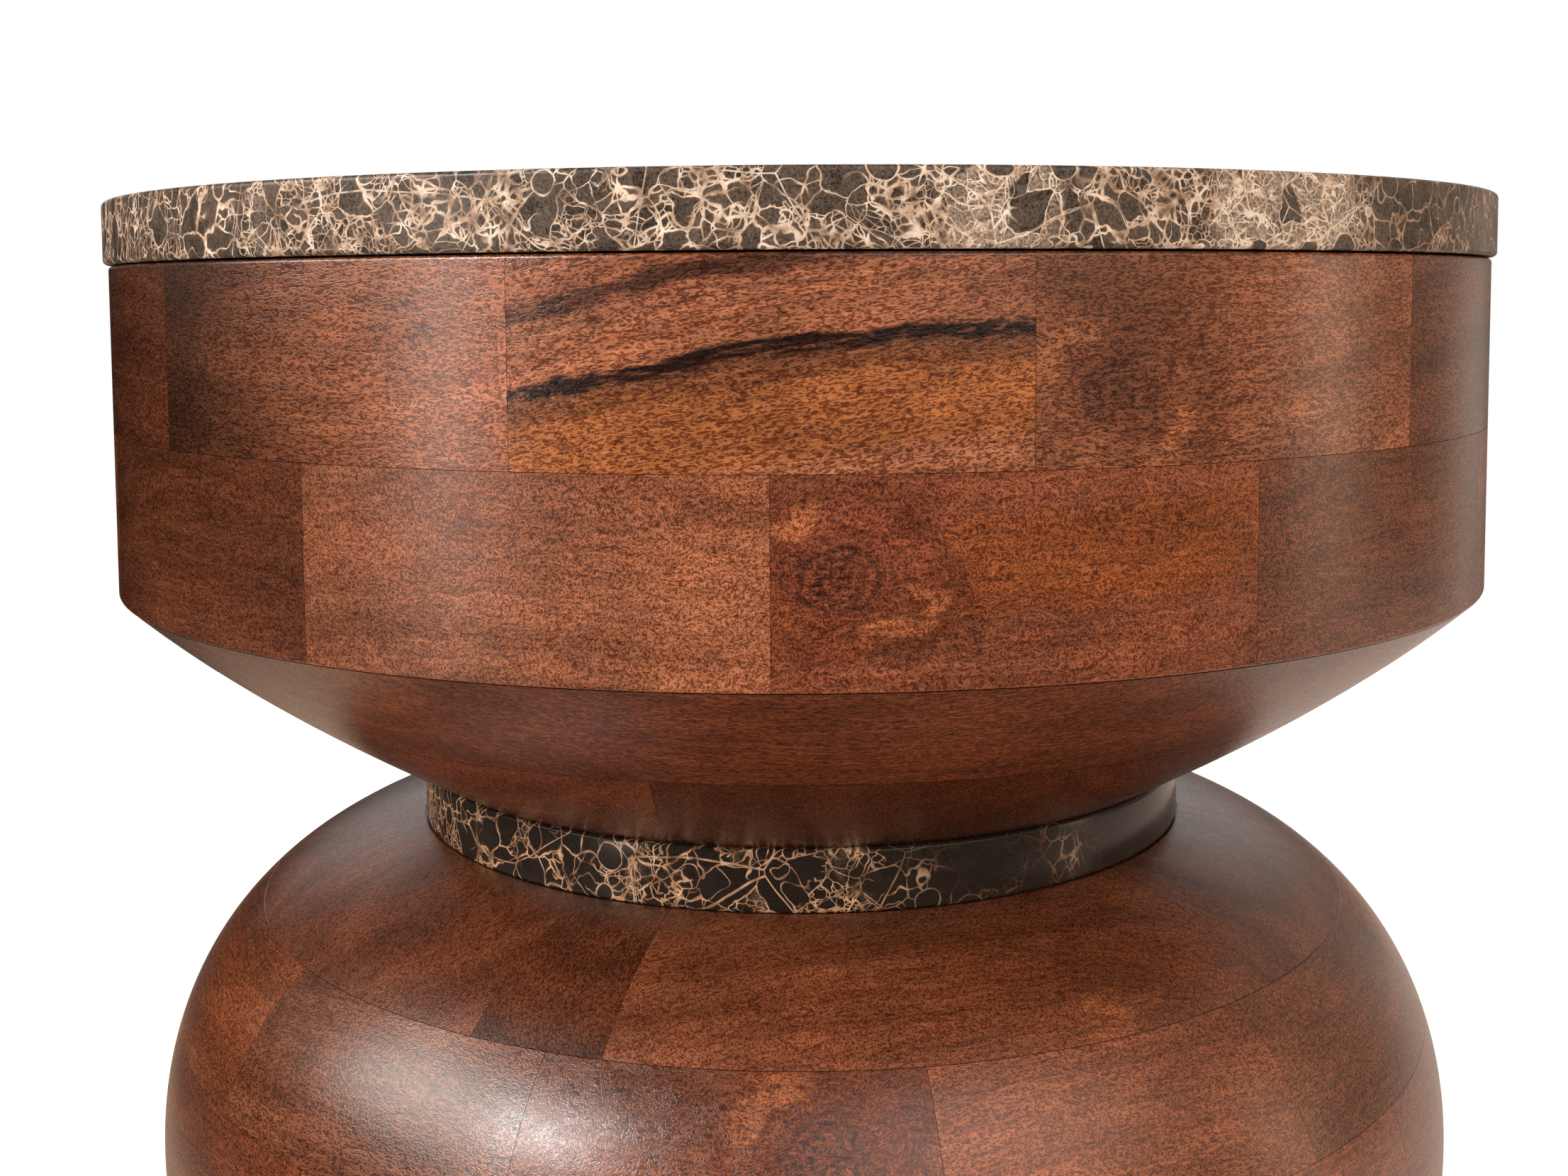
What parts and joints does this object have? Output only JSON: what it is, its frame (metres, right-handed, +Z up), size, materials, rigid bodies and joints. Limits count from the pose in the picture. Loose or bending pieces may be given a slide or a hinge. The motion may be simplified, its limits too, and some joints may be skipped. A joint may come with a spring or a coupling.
{
  "type": "side table",
  "caption": "Round side table: stone slab on a drum of brick-laid wood blocks that tapers to a stone collar, standing on a bulb-shaped turned wood base.",
  "frame": {"origin": "centre of the table's axis on the floor, under the four glides", "axes": "+Z up along the axis of turning, -Y towards the picture's camera, +X to its right"},
  "size_m": [0.457, 0.4564, 0.404],
  "materials": {
    "marble": "polished dark brown brecciated marble with tan veins",
    "block_wood": "satin-lacquered red-brown hardwood, grain along each block",
    "deck_plywood": "bare plywood",
    "tie_steel": "zinc-plated steel",
    "glide_felt": "pressed felt"
  },
  "bodies": {
    "root": {"base_belt_lower_ring": "block_wood", "base_belt_upper_ring": "block_wood", "base_cap_panel": "block_wood", "base_foot_panel": "block_wood", "base_heel_ring": "block_wood", "base_shoulder_block_01": "block_wood", "base_shoulder_block_02": "block_wood", "base_shoulder_block_03": "block_wood", "base_shoulder_block_04": "block_wood", "base_shoulder_block_05": "block_wood", "base_shoulder_block_06": "block_wood", "base_shoulder_block_07": "block_wood", "base_shoulder_block_08": "block_wood", "base_shoulder_block_09": "block_wood", "base_shoulder_block_10": "block_wood", "base_shoulder_block_11": "block_wood", "base_shoulder_closing_block": "block_wood", "cone_lower_panel": "block_wood", "cone_upper_panel": "block_wood", "drum_lower_block_01": "block_wood", "drum_lower_block_02": "block_wood", "drum_lower_block_03": "block_wood", "drum_lower_block_04": "block_wood", "drum_lower_block_05": "block_wood", "drum_lower_block_06": "block_wood", "drum_lower_block_07": "block_wood", "drum_lower_block_08": "block_wood", "drum_lower_block_09": "block_wood", "drum_lower_block_10": "block_wood", "drum_lower_block_11": "block_wood", "drum_lower_closing_block": "block_wood", "drum_upper_block_01": "block_wood", "drum_upper_block_02": "block_wood", "drum_upper_block_03": "block_wood", "drum_upper_block_04": "block_wood", "drum_upper_block_05": "block_wood", "drum_upper_block_06": "block_wood", "drum_upper_block_07": "block_wood", "drum_upper_block_08": "block_wood", "drum_upper_block_09": "block_wood", "drum_upper_block_10": "block_wood", "drum_upper_block_11": "block_wood", "drum_upper_closing_block": "block_wood", "glide_1": "glide_felt", "glide_2": "glide_felt", "glide_3": "glide_felt", "glide_4": "glide_felt", "marble_collar": "marble", "marble_top": "marble", "tie_nut_lower": "tie_steel", "tie_nut_upper": "tie_steel", "tie_rod": "tie_steel", "tie_washer_lower": "tie_steel", "tie_washer_upper": "tie_steel", "top_deck": "deck_plywood"}
  },
  "joints": []
}
